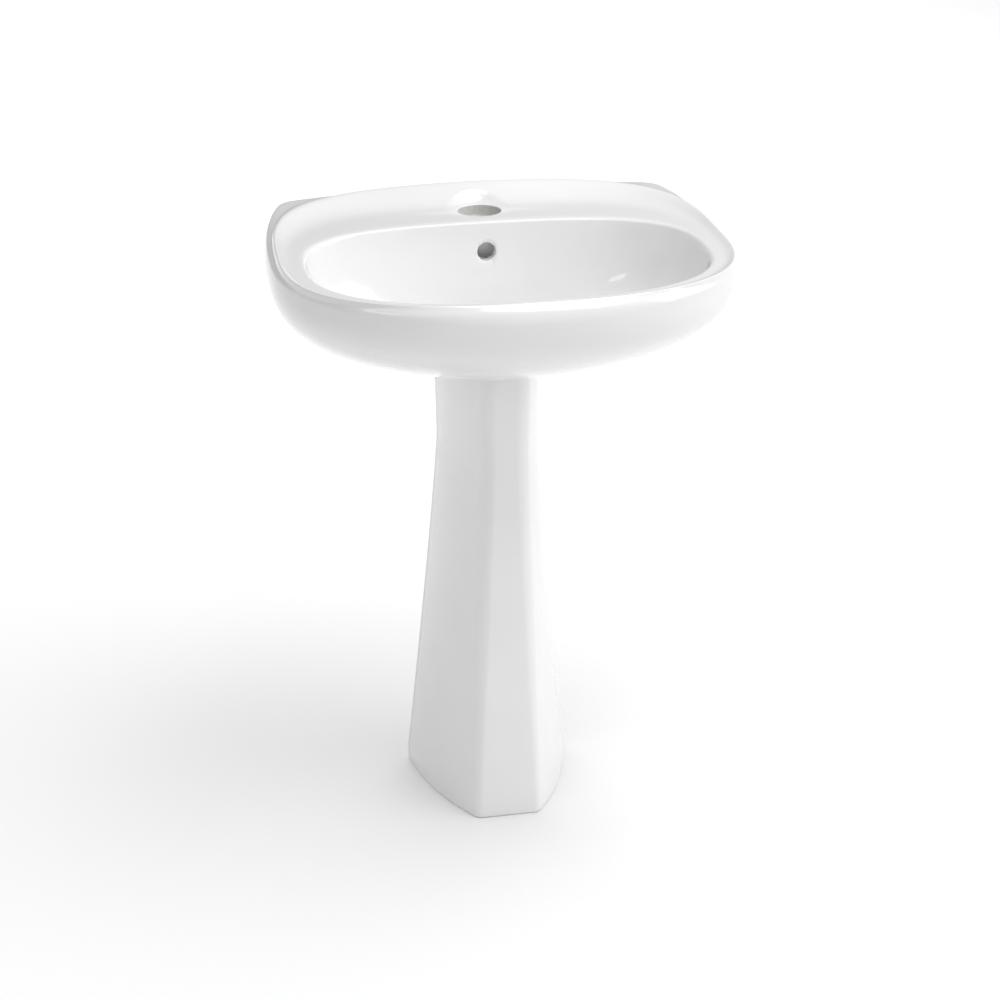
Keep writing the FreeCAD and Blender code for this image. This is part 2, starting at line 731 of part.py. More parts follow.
pipe = "pipe_dia / 2"
pipe_bore = "pipe_dia / 2 - pipe_wall"
nodes["tailpiece"] = turned("tailpiece", [
    (pipe_bore, "bend_height + 58"),
    (pipe, "bend_height + 58"),
    (pipe, "waste_end - 8"),
    (thread, "waste_end - 7"),
    (thread, "waste_end - 2"),
    (bore + " - 0.05", "waste_end - 2"),
    (bore + " - 0.05", "waste_end + 12"),
    (pipe_bore, "waste_end + 12"),
])
nodes["tailpiece_seal"] = turned("tailpiece_seal", [
    (bore, "waste_end - 2"),
    (thread + " - 0.4", "waste_end - 2"),
    (thread + " - 0.4", "waste_end"),
    (bore, "waste_end"),
])

# ---------------------------------------------------------------- stopper
guide_ring = turned("guide_ring", [
    (bore + " - 3", "guide_low"),
    (bore + " - 0.05", "guide_low"),
    (bore + " - 0.05", "guide_low + 5"),
    (bore + " - 3", "guide_low + 5"),
])
guide_bar_across = box("guide_bar_across", "waste_bore - 4", "3", "5", "0", "drain_y",
                       "guide_low")
guide_bar_along = box("guide_bar_along", "3", "waste_bore - 4", "5", "0", "drain_y",
                      "guide_low")
guide_hub = cylinder("guide_hub", "7.5", "12", "0", "drain_y", "guide_low")
guide_hole = cylinder("guide_hole", "stem_dia / 2 + 0.3", "30", "0", "drain_y",
                      "guide_low - 5")
guide_solid = fuse("guide_solid", [guide_ring, guide_bar_across, guide_bar_along, guide_hub])
nodes["stopper_guide"] = cut("stopper_guide", guide_solid, guide_hole)

nodes["stopper_stem"] = turned("stopper_stem", [
    ("0", "guide_low - 14"),
    ("stem_dia / 2", "guide_low - 14"),
    ("stem_dia / 2", "stem_collar"),
    ("stem_dia / 2 + 3", "stem_collar"),
    ("stem_dia / 2 + 3", "stem_collar + 3"),
    ("stem_dia / 2 + 1", "stem_collar + 3"),
    ("stem_dia / 2 + 1", "cap_low"),
    ("0", "cap_low"),
])
nodes["stopper_seal"] = turned("stopper_seal", [
    ("14", "cap_low - 3"),
    ("18.2", "cap_low - 3"),
    ("20.6", "cap_low - 1"),
    ("20.6", "cap_low"),
    ("14", "cap_low"),
])
cap = "stopper_dia / 2"
nodes["stopper_cap"] = turned("stopper_cap", [
    ("0", "cap_low"),
    (cap + " - 1", "cap_low"),
    (cap, "cap_low + 0.8"),
    (cap, "cap_low + 1.6"),
    (cap + " - 2", "cap_low + 3"),
    (cap + " - 8", "cap_low + 4.2"),
    (cap + " - 16", "cap_low + 5"),
    ("0", "cap_low + 5.5"),
])

spring_body = doc.addObject("PartDesign::Body", "stopper_spring")
wire = spring_body.newObject("Sketcher::SketchObject", "spring_wire")
for plane in spring_body.Origin.OriginFeatures:
    if plane.Role == "XZ_Plane":
        wire.AttachmentSupport = [(plane, "")]
wire.MapMode = "FlatFace"
coil = number("stem_dia / 2 + 1.6")
wire.addGeometry(Part.Circle(FreeCAD.Vector(coil, 0.8, 0), FreeCAD.Vector(0, 0, 1), 0.6))
wire.addConstraint(Sketcher.Constraint("DistanceX", -1, 1, 0, 3, coil))
wire.setExpression("Constraints[0]", from_sheet("stem_dia / 2 + 1.6"))
wire.addConstraint(Sketcher.Constraint("DistanceY", -1, 1, 0, 3, 0.8))
wire.addConstraint(Sketcher.Constraint("Radius", 0, 0.6))
coils = spring_body.newObject("PartDesign::AdditiveHelix", "spring_coils")
coils.Profile = wire
coils.ReferenceAxis = (wire, ["V_Axis"])
coils.Mode = "height-turns-angle"
coils.Turns = 5.5
bind(coils, Height="stem_collar - guide_low - 13.6")
spring_body.Tip = coils
bind(spring_body, Placement__Base__y="drain_y", Placement__Base__z="guide_low + 12")
nodes["stopper_spring"] = spring_body

# ---------------------------------------------------------------- trap
leg_outer = "pipe_dia / 2 + 2"
leg_bore = "pipe_dia / 2 + 0.05"


def trap_run(name, radius, extra):
    """The bend as a rod of one radius: inlet leg, half turn below and outlet leg."""
    inlet = cylinder(name + "_inlet", radius, "inlet_leg_top - bend_height + %s" % extra,
                     "0", "drain_y", "bend_height")
    turn = bend(name + "_turn", radius, "0", "drain_y + bend_radius", "bend_height", -90, 180)
    outlet = cylinder(name + "_outlet", radius, "outlet_leg_top - bend_height + %s" % extra,
                      "0", "outlet_leg_y", "bend_height")
    return fuse(name, [inlet, turn, outlet])


nodes["trap_bend"] = cut("trap_bend", trap_run("bend_outside", leg_outer, 0),
                         trap_run("bend_inside", leg_bore, 5))


def slip_joint(name, y, leg_top):
    """A twelve-pointed compression nut and its washer over the end of a bend leg."""
    low = leg_top + " - 14"
    barrel = cylinder(name + "_barrel", "24", "22", "0", y, low)
    points = hexagon(name + "_points", "46", "18", "0", y, leg_top + " - 10")
    points_between = hexagon(name + "_points_between", "46", "18", "0", y, leg_top + " - 10",
                             turn=30)
    nut_solid = fuse(name + "_solid", [barrel, points, points_between])
    over_leg = cylinder(name + "_over_leg", leg_outer + " + 0.05", "19", "0", y,
                        leg_top + " - 15")
    over_pipe = cylinder(name + "_over_pipe", "pipe_dia / 2 + 0.4", "40", "0", y, low)
    bores = fuse(name + "_bores", [over_leg, over_pipe])
    nodes[name + "_nut"] = cut(name + "_nut", nut_solid, bores)
    nodes[name + "_washer"] = turned(name + "_washer", [
        ("pipe_dia / 2 + 0.02", leg_top),
        (leg_outer, leg_top),
        ("pipe_dia / 2 + 1.6", leg_top + " + 4"),
        ("pipe_dia / 2 + 0.02", leg_top + " + 4"),
    ], y=y)


slip_joint("trap_inlet", "drain_y", "inlet_leg_top")
slip_joint("trap_outlet", "outlet_leg_y", "outlet_leg_top")


def arm_run(name, radius, extra, past_wall):
    """The arm as a rod of one radius: upright leg, quarter turn and run to beyond the wall face."""
    upright = cylinder(name + "_upright", radius,
                       "outlet_height - bend_radius - outlet_leg_top + 12 + %s" % extra,
                       "0", "outlet_leg_y", "outlet_leg_top - 12 - %s" % extra)
    turn = bend(name + "_turn", radius, "0", "outlet_leg_y + bend_radius",
                "outlet_height - bend_radius", 180, 90)
    level = cylinder(name + "_level", radius,
                     "wall_y + %s - outlet_leg_y - bend_radius" % past_wall,
                     "0", "outlet_leg_y + bend_radius", "outlet_height", "Y")
    return fuse(name, [upright, turn, level])


arm_neck = cone("arm_neck", pipe, "spigot_dia / 2", "2", "0", "wall_y", "outlet_height", "Y")
arm_spigot = cylinder("arm_spigot", "spigot_dia / 2", "43", "0", "wall_y + 2",
                      "outlet_height", "Y")
arm_solid = fuse("arm_solid", [arm_run("arm_outside", pipe, 0, 0), arm_neck, arm_spigot])
nodes["trap_arm"] = cut("trap_arm", arm_solid, arm_run("arm_inside", pipe_bore, 5, 50))

rose_plate = cylinder("rose_plate", "31", "2", "0", "wall_y - 2", "outlet_height", "Y")
rose_dome = cone("rose_dome", "20", "30", "5", "0", "wall_y - 7", "outlet_height", "Y")
rose_hole = cylinder("rose_hole", "pipe_dia / 2 + 0.2", "20", "0", "wall_y - 12",
                     "outlet_height", "Y")
nodes["wall_flange"] = cut("wall_flange", fuse("rose_solid", [rose_plate, rose_dome]), rose_hole)

# ---------------------------------------------------------------- checks and files
doc.recompute()
for item in doc.Objects:
    if "Invalid" in item.State or "Error" in item.State:
        raise RuntimeError("%s did not compute: %s" % (item.Name, item.State))
for node, item in nodes.items():
    shape = item.Shape
    if shape.isNull() or not shape.isValid():
        raise RuntimeError("%s has no valid shape" % node)
    shape.exportStep("parts/%s.step" % node)
    print("%-18s %d solid(s) %10.1f cm3" % (node, len(shape.Solids), shape.Volume / 1000.0))
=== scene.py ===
import json
import math

import bmesh
import bpy
import numpy as np
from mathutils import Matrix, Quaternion, Vector


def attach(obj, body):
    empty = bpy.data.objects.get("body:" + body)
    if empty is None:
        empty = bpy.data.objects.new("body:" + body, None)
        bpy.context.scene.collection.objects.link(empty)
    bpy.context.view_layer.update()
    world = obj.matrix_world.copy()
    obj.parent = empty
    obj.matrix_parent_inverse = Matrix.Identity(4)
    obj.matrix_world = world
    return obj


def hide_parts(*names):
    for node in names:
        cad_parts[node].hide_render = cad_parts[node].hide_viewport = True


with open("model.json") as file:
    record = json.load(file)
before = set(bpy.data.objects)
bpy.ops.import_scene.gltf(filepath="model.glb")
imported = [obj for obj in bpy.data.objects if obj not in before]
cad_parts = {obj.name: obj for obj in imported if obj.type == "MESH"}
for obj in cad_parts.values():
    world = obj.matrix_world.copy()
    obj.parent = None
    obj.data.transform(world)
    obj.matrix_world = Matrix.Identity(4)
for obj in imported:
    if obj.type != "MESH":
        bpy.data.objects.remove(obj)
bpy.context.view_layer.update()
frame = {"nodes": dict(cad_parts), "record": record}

# Lengths below are millimetres until a mesh is made.  A plan point is (x, d, z), where d is the
# distance out from the wall plane, so y = WALL_Y - d.
mounts = {mount["name"]: mount for mount in frame["record"]["mounts"]}
WALL_Y = mounts["wall_back"]["pos_m"][1] * 1000
TAP_D = WALL_Y - mounts["tap_hole"]["pos_m"][1] * 1000
TAP_RADIUS = mounts["tap_hole"]["dims"]["r_mm"]
BOLT_X = mounts["wall_studs"]["dims"]["spacing_x_mm"] / 2
BOLT_Z = mounts["wall_studs"]["pos_m"][2] * 1000
SCREW_X = mounts["floor_screw_holes"]["dims"]["spacing_x_mm"] / 2
SCREW_D = WALL_Y - mounts["floor_screw_holes"]["pos_m"][1] * 1000

# The basin: half its width, its reach from the wall, and the heights of its lip, ridge and drain.
HALF = 300.0
DEPTH = 485.0
LIP = 833.0
BACK = 858.0
SEAT = 688.0
DRAIN_D = 200.0
DRAIN_RADIUS = 23.0
RING_Z = 664.0
SKIN = 12.0
BACK_WALL = 14.0

# The pedestal.
FOOT_HALF = 118.0
FOOT_FRONT = 280.0
FOOT_DEPTH = 188.0
FOOT_ROUND = 3.0
PEDESTAL_TOP = 684.0
PEDESTAL_WALL = 12.0

# The tap's seat in the deck, the thick ceramic under it, and the level pad round it.
RECESS_RADIUS = 29.5
RECESS_FLOOR = 819.0
RECESS_FILLET = 2.0
RECESS_EDGE = 1.6
BORE_EDGE = 1.2
BOSS_RADIUS = 36.0
BOSS_LOW = 804.0
PAD_INNER = 31.0
PAD_OUTER = 48.0

# The overflow hole, and the channel behind the bowl that it opens into.
OVERFLOW_Z = 792.5
OVERFLOW_RADIUS = 12.5
OVERFLOW_EDGE = 3.5
CASING_HALF = 21.0
CASING_D = 94.0
CHANNEL_HALF = 14.0
CHANNEL_D = 100.0
CHANNEL_LOW = 672.0
CHANNEL_TOP = 800.5

# Holes for the fixings, and the small step that keeps the faces of two cutters apart.
BOLT_HOLE_RADIUS = 7.0
SCREW_HOLE_RADIUS = 3.5
APART = 0.01

# The picture's angle: camera turned left of straight ahead, raised and slightly rolled.
CAMERA_TARGET = (-0.005, -0.0333, 0.4806)
CAMERA_DISTANCE = 2.691
CAMERA_TURN = math.radians(-10.5)
CAMERA_RISE = math.radians(24.0)
CAMERA_ROLL = math.radians(-0.2)
CAMERA_LENS = 71.75


# ---------------------------------------------------------------- smooth surfaces
def plan_angles():
    """Plan angles of the surface's columns, closer together round the two rear corners."""
    corner = math.radians(37.0)
    spread = 0.12
    spans = [
        (corner + spread, math.pi - corner - spread, 16),
        (math.pi - corner - spread, math.pi - corner + spread, 8),
        (math.pi - corner + spread, 2 * math.pi + corner - spread, 44),
        (2 * math.pi + corner - spread, 2 * math.pi + corner + spread, 8),
    ]
    return np.concatenate([np.linspace(a, b, n, endpoint=False) for a, b, n in spans])


ANGLES = plan_angles()


def oval(half, front, rear, centre, front_power, rear_power, heights, wall=None,
         height_power=1.5):
    """A closed plan curve with its own front, side and rear heights, as rows of (x, d, z)."""
    across = np.cos(ANGLES)
    back = np.sin(ANGLES)
    behind = back >= 0
    reach = np.where(behind, centre - rear, front - centre)
    power = np.where(behind, rear_power, front_power)
    radius = (np.abs(across / half) ** power + np.abs(back / reach) ** power) ** (-1 / power)
    if wall is not None:
        # A high power blends the curve into the straight wall line without a kink.
        sharp = 44.0
        to_wall = (centre - wall) / np.where(back > 1e-6, back, 1e-6)
        clipped = (radius ** -sharp + to_wall ** -sharp) ** (-1 / sharp)
        radius = np.where(back > 1e-6, clipped, radius)
    front_z, side_z, rear_z = heights
    rise = np.where(behind, (rear_z - side_z) * np.abs(back) ** height_power,
                    (front_z - side_z) * np.abs(back) ** 1.2)
    return np.stack([radius * across, centre - radius * back, side_z + rise], axis=1)


def between(first, second, share, height_share=None):
    """A rail part of the way from one curve to another."""
    shares = np.array([share, share, share if height_share is None else height_share])
    return first + (second - first) * shares


def inset(curve, distance, height=None, lift=0.0):
    """The curve moved inwards in plan by a distance (outwards if negative)."""
    before = np.roll(curve, 1, axis=0)
    after = np.roll(curve, -1, axis=0)
    step = after - before
    length = np.hypot(step[:, 0], step[:, 1])
    moved = curve.copy()
    moved[:, 0] += step[:, 1] / length * distance
    moved[:, 1] -= step[:, 0] / length * distance
    moved[:, 2] = curve[:, 2] + lift if height is None else height
    return moved


def inside(curve, distance, height=None, lift=0.0):
    """An inset rail that keeps the flat back wall at its full thickness."""
    moved = inset(curve, distance, height, lift)
    moved[:, 1] = np.maximum(moved[:, 1], BACK_WALL)
    return moved


def basis(knots, count, places):
    """Cubic B-spline weights: one row per place, one column per pole."""
    knots = np.array(knots, float)
    weights = ((places[:, None] >= knots[:-1]) & (places[:, None] < knots[1:])).astype(float)
    last = np.max(np.nonzero(knots[:-1] < knots[1:]))
    weights[places >= knots[-1]] = 0
    weights[places >= knots[-1], last] = 1
    for degree in (1, 2, 3):
        spans = len(knots) - 1 - degree
        raised = np.zeros((len(places), spans))
        for i in range(spans):
            low = knots[i + degree] - knots[i]
            high = knots[i + degree + 1] - knots[i + 1]
            if low > 0:
                raised[:, i] += (places - knots[i]) / low * weights[:, i]
            if high > 0:
                raised[:, i] += (knots[i + degree + 1] - places) / high * weights[:, i + 1]
        weights = raised
    return weights[:, :count]


def skin_points(rails, around, along):
    """Points of the cubic surface whose rows of poles are the rails, closed around."""
    net = np.array(rails)
    rows, columns = net.shape[:2]
    along_knots = [0] * 4 + list(range(1, rows - 3)) + [rows - 3] * 4
    around_knots = list(range(-3, columns + 4))
    wrapped = np.concatenate([net, net[:, :3]], axis=1)
    return np.einsum("vr,rcx,uc->vux", basis(along_knots, rows, along), wrapped,
                     basis(around_knots, columns + 3, around))


def spaced(stops):
    """Places with their own spacing in each stretch: (start, end, count) without the ends."""
    return np.concatenate([np.linspace(a, b, n, endpoint=False) for a, b, n in stops])


seat_edge = oval(37, DRAIN_D + 37, DRAIN_D - 37, DRAIN_D, 2, 2, (SEAT, SEAT, SEAT))
bowl_edge = oval(HALF - 42, DEPTH - 22, 126, 281, 2.5, 3.0, (LIP, LIP, LIP + 1.5))
crest = oval(HALF - 12, DEPTH - 14, 4, 256, 2.8, 3.4, (LIP, LIP + 6, BACK + 1), wall=5,
             height_power=1.35)
shoulder = oval(HALF - 2.5, DEPTH - 3, -179, 220, 2.65, 2.35,
                (LIP - 12, LIP - 8, BACK - 5), wall=-2, height_power=1.15)
body = oval(HALF + 0.5, DEPTH + 0.5, -179, 220, 2.5, 2.35,
            (LIP - 32, LIP - 30, LIP - 10), wall=-2, height_power=1.15)
belly = oval(HALF * 0.73, DEPTH * 0.84, -90, 215, 1.85, 2.4,
             (LIP - 120, LIP - 127, LIP - 127), wall=-2)
ring = oval(60, DRAIN_D + 52, 30, 190, 2.0, 2.2, (RING_Z, RING_Z, RING_Z))


def step_rail(share, ridge_share, front_share):
    """A rail between crest and shoulder, where the step below the crest fades out at the front."""
    forward = np.clip((-np.sin(ANGLES) - 0.6) / 0.3, 0, 1)
    rail = crest + (shoulder - crest) * share
    height_share = ridge_share + (front_share - ridge_share) * forward
    rail[:, 2] = crest[:, 2] + (shoulder[:, 2] - crest[:, 2]) * height_share
    return rail


# From the drain up the bowl, over the crest, down the outside and in to the ring underneath.
outer_rails = [
    seat_edge,
    between(seat_edge, bowl_edge, 0.05, 0.003),
    between(seat_edge, bowl_edge, 0.27, 0.045),
    between(seat_edge, bowl_edge, 0.55, 0.145),
    between(seat_edge, bowl_edge, 0.82, 0.35),
    between(seat_edge, bowl_edge, 0.94, 0.66),
    between(seat_edge, bowl_edge, 0.975, 0.90),
    between(seat_edge, bowl_edge, 0.985, 0.975),
    bowl_edge,
    between(bowl_edge, crest, 0.18, 0.01),
    between(bowl_edge, crest, 0.38, 0.02),
    between(bowl_edge, crest, 0.62, 0.04),
    between(bowl_edge, crest, 0.80, 0.42),
    between(bowl_edge, crest, 0.94, 0.94),
    crest,
    step_rail(0.12, 0.15, 0.05),
    step_rail(0.24, 0.46, 0.14),
    step_rail(0.40, 0.60, 0.30),
    step_rail(0.75, 0.78, 0.62),
    shoulder,
    between(shoulder, body, 0.9, 0.45),
    body,
    between(body, belly, 0.03, 0.18),
    between(body, belly, 0.13, 0.41),
    between(body, belly, 0.44, 0.71),
    belly,
    between(belly, ring, 0.42, 0.48),
    between(belly, ring, 0.78, 0.80),
    ring,
]
# The underside's hollow, from its roof below the deck down to its mouth.
ROOF = LIP - 20
inner_rails = [
    inside(body, SKIN + 12, ROOF),
    inside(body, SKIN + 6, ROOF),
    inside(body, SKIN + 2, ROOF - 4),
    inside(body, SKIN + 1, ROOF - 14),
    inside(between(body, belly, 0.02), SKIN + 1, LIP - 44),
    inside(between(body, belly, 0.13, 0.41), SKIN, lift=SKIN * 0.1),
    inside(between(body, belly, 0.44, 0.71), SKIN * 0.9, lift=SKIN * 0.4),
    inside(belly, SKIN * 0.65, lift=SKIN * 0.75),
    inside(between(belly, ring, 0.42, 0.48), SKIN * 0.5, lift=SKIN * 0.85),
    inside(between(belly, ring, 0.78, 0.80), SKIN * 0.6, lift=SKIN * 0.8),
    inside(ring, SKIN * 0.9, RING_Z + 11),
    inside(ring, SKIN, RING_Z + 5),
    inside(ring, SKIN, RING_Z - 5),
    inside(ring, SKIN, RING_Z - 14),
]
boss = oval(33, DRAIN_D + 33, DRAIN_D - 33, DRAIN_D, 2, 2, (RING_Z, RING_Z, RING_Z))
# The bowl's own underside, which stands inside that hollow.
thick_bowl_rails = [
    inset(bowl_edge, -SKIN, LIP + 12),
    inset(bowl_edge, -SKIN),
    inset(between(seat_edge, bowl_edge, 0.975, 0.90), -SKIN),
    inset(between(seat_edge, bowl_edge, 0.94, 0.64), -SKIN * 0.9),
    inset(between(seat_edge, bowl_edge, 0.82, 0.35), -SKIN * 0.7, lift=-SKIN * 0.6),
    inset(between(seat_edge, bowl_edge, 0.55, 0.145), -SKIN * 0.2, lift=-SKIN),
    inset(between(seat_edge, bowl_edge, 0.27, 0.045), 0, lift=-SKIN * 1.1),
    inset(boss, -6, RING_Z + 12),
    inset(boss, -1, RING_Z + 10),
    boss,
]


# ---------------------------------------------------------------- meshes
def link(name, mesh):
    """A new object in the scene for a mesh."""
    piece = bpy.data.objects.new(name, mesh)
    bpy.context.scene.collection.objects.link(piece)
    return piece


def grid_object(name, points):
    """A closed-around grid of plan points as a mesh in metres, with flat ends."""
    rows, columns = points.shape[:2]
    verts = points.reshape(-1, 3) / 1000.0
    verts[:, 1] = WALL_Y / 1000.0 - verts[:, 1]
    faces = []
    for i in range(rows - 1):
        for j in range(columns):
            k = (j + 1) % columns
            faces.append((i * columns + j, i * columns + k, (i + 1) * columns + k,
                          (i + 1) * columns + j))
    faces.append(tuple(range(columns))[::-1])
    faces.append(tuple(range((rows - 1) * columns, rows * columns)))
    mesh = bpy.data.meshes.new(name)
    mesh.from_pydata(verts.tolist(), [], faces)
    mesh.update()
    built = bmesh.new()
    built.from_mesh(mesh)
    bmesh.ops.recalc_face_normals(built, faces=built.faces)
    if built.calc_volume(signed=True) < 0:
        bmesh.ops.reverse_faces(built, faces=built.faces)
    built.to_mesh(mesh)
    built.free()
    return link(name, mesh)


def box_object(name, x0, x1, d0, d1, z0, z1):
    """A plain box cutter between two plan corners."""
    built = bmesh.new()
    bmesh.ops.create_cube(built, size=1.0)
    low = Vector((x0, WALL_Y - d1, z0)) / 1000
    high = Vector((x1, WALL_Y - d0, z1)) / 1000
    for vert in built.verts:
        for axis in range(3):
            vert.co[axis] = low[axis] if vert.co[axis] < 0 else high[axis]
    mesh = bpy.data.meshes.new(name)
    built.to_mesh(mesh)
    built.free()
    return link(name, mesh)


def rod_object(name, radius, start, end, segments=64):
    """A cylinder cutter between two points (x, y, z) in millimetres."""
    start = Vector(start) / 1000
    end = Vector(end) / 1000
    built = bmesh.new()
    bmesh.ops.create_cone(built, cap_ends=True, segments=segments, radius1=radius / 1000,
                          radius2=radius / 1000, depth=(end - start).length)
    turn = (end - start).to_track_quat("Z", "Y")
    for vert in built.verts:
        vert.co = turn @ vert.co + (start + end) / 2
    mesh = bpy.data.meshes.new(name)
    built.to_mesh(mesh)
    built.free()
    return link(name, mesh)


def combine(target, tool, operation):
    """Applies one exact boolean to the target and removes the tool."""
    step = target.modifiers.new("step", "BOOLEAN")
    step.operation = operation
    step.solver = "EXACT"
    step.object = tool
    graph = bpy.context.evaluated_depsgraph_get()
    mesh = bpy.data.meshes.new_from_object(target.evaluated_get(graph))
    target.modifiers.clear()
    target.data = mesh
    bpy.data.objects.remove(tool)


def finish_mesh(piece, angle=40.0):
    """Merges doubles, shades smooth and keeps edges sharper than the angle crisp."""
    built = bmesh.new()
    built.from_mesh(piece.data)
    bmesh.ops.remove_doubles(built, verts=built.verts, dist=2e-6)
    bmesh.ops.dissolve_degenerate(built, edges=built.edges, dist=1e-6)
    for face in built.faces:
        face.smooth = True
    for edge in built.edges:
        bend = edge.calc_face_angle(0.0)
        edge.smooth = bend < math.radians(angle)
    built.to_mesh(piece.data)
    built.free()


# ---------------------------------------------------------------- basin
def rounded_drop(distance, hole, edge):
    """How far a surface sinks into a hole whose rim is rounded by a quarter circle."""
    reach = np.clip(hole + edge - distance, 0, edge)
    return edge - np.sqrt(np.maximum(edge ** 2 - reach ** 2, 0))


# Close columns and rows where the surface turns sharply: rear corners, rim, crest and step.
around = spaced([(0.0, 4.5, 16), (4.5, 9.5, 64), (9.5, 15.0, 20), (15.0, 25.0, 60),
                 (25.0, 66.0, 164), (66.0, 76.0, 60)])
along = np.append(spaced([(0, 6, 42), (6, 9, 30), (9, 12, 42), (12, 16, 32), (16, 26, 84)]), 26.0)
skin = skin_points(outer_rails, around, along)
skin[..., 1] = np.maximum(skin[..., 1], 0.0)
to_overflow = np.hypot(skin[..., 0], skin[..., 2] - OVERFLOW_Z)
on_bowl_rear = (skin[..., 1] > 100) & (skin[..., 1] < 150)
skin[..., 1] -= np.where(on_bowl_rear, rounded_drop(to_overflow, OVERFLOW_RADIUS, OVERFLOW_EDGE), 0)


def deck_height(x, d):
    """Height of the rear deck over a plan point, averaged from the nearest skin points."""
    deck = skin[skin[..., 2] > LIP - 8]
    distance = np.hypot(deck[:, 0] - x, deck[:, 1] - d)
    nearest = np.argsort(distance)[:6]
    weights = 1 / (distance[nearest] + 0.05)
    return np.sum(deck[nearest, 2] * weights) / np.sum(weights)


# The deck is level round the tap seat and blends back into the ridge behind it.
pad_height = deck_height(0, TAP_D + RECESS_RADIUS)
from_tap = np.hypot(skin[..., 0], skin[..., 1] - TAP_D)
blend = np.clip((PAD_OUTER - from_tap) / (PAD_OUTER - PAD_INNER), 0, 1)
blend = blend ** 2 * (3 - 2 * blend)
above_pad = (skin[..., 2] > LIP - 8) & (skin[..., 2] > pad_height)
skin[..., 2] -= np.where(above_pad, (skin[..., 2] - pad_height) * blend, 0)


def tap_seat_tool():
    """Cutter for the tap seat: bore, flat seat, upright wall and an edge that follows the deck."""
    turns = np.linspace(0, 2 * math.pi, 144, endpoint=False)
    quarter = np.linspace(0, math.pi / 2, 7)
    flat = np.ones_like(turns)
    edge_radius = RECESS_RADIUS + RECESS_EDGE
    edge = np.array([deck_height(edge_radius * math.cos(t), TAP_D + edge_radius * math.sin(t))
                     for t in turns])
    rows = [(TAP_RADIUS, (RECESS_FLOOR - 36) * flat)]
    for t in quarter:
        rows.append((TAP_RADIUS + BORE_EDGE * (1 - math.cos(t)),
                     (RECESS_FLOOR - BORE_EDGE * (1 - math.sin(t))) * flat))
    for t in quarter:
        rows.append((RECESS_RADIUS - RECESS_FILLET * (1 - math.sin(t)),
                     (RECESS_FLOOR + RECESS_FILLET * (1 - math.cos(t))) * flat))
    for t in quarter:
        rows.append((RECESS_RADIUS + RECESS_EDGE * (1 - math.cos(t)),
                     edge - RECESS_EDGE * (1 - math.sin(t))))
    rows.append((edge_radius, edge + 12))
    points = [np.stack([radius * np.cos(turns), TAP_D + radius * np.sin(turns), height], axis=1)
              for radius, height in rows]
    return grid_object("tap_seat_tool", np.array(points))


basin = grid_object("basin_glazed", skin)
filled = grid_object("filled_tool", skin_points(outer_rails, spaced([(0.0, 76.0, 228)]),
                                                np.linspace(0, 26, 130)))
hollow = grid_object("hollow_tool", skin_points(inner_rails, spaced([(0.0, 76.0, 152)]),
                                                np.linspace(0, 11, 60)))
thick_bowl = grid_object("thick_bowl_tool",
                         skin_points(thick_bowl_rails, spaced([(0.0, 76.0, 152)]),
                                     np.linspace(0, 7, 44)))
combine(hollow, thick_bowl, "DIFFERENCE")
combine(hollow, box_object("zone_tool", -HALF, HALF, 0, DEPTH - 155, 624, 874), "INTERSECT")
# The channel's casing and the tap's boss are left standing in the hollow.
combine(hollow, box_object("casing_tool", -CASING_HALF, CASING_HALF, CASING_D, 162, 660, 814),
        "DIFFERENCE")
combine(hollow, box_object("casing_foot_tool", -CASING_HALF - APART, CASING_HALF + APART,
                           CASING_D + APART, 194, 659.9, 704), "DIFFERENCE")
combine(hollow, rod_object("tap_boss_tool", BOSS_RADIUS, (0, WALL_Y - TAP_D, BOSS_LOW),
                           (0, WALL_Y - TAP_D, BOSS_LOW + 30), 96), "DIFFERENCE")
combine(basin, hollow, "DIFFERENCE")
combine(basin, rod_object("drain_tool", DRAIN_RADIUS, (0, WALL_Y - DRAIN_D, 650),
                          (0, WALL_Y - DRAIN_D, 700), 96), "DIFFERENCE")
combine(basin, tap_seat_tool(), "DIFFERENCE")
combine(basin, rod_object("overflow_tool", OVERFLOW_RADIUS, (0, WALL_Y - 172, OVERFLOW_Z),
                          (0, WALL_Y - 102, OVERFLOW_Z), 96), "DIFFERENCE")
combine(basin, box_object("channel_tool", -CHANNEL_HALF, CHANNEL_HALF, CHANNEL_D, 114,
                          CHANNEL_LOW, CHANNEL_TOP), "DIFFERENCE")
combine(basin, box_object("channel_run_tool", -CHANNEL_HALF + APART, CHANNEL_HALF - APART,
                          CHANNEL_D + APART, 188, CHANNEL_LOW + APART, 682), "DIFFERENCE")
for side in (-1, 1):
    combine(basin, rod_object("bolt_tool", BOLT_HOLE_RADIUS, (side * BOLT_X, WALL_Y - 40, BOLT_Z),
                              (side * BOLT_X, WALL_Y + 20, BOLT_Z), 48), "DIFFERENCE")
# Hands reach the trap and the nuts through this gap in the rear of the underside.
combine(basin, box_object("service_tool", -175, 175, 15, 89, 634, 744), "DIFFERENCE")
finish_mesh(basin)


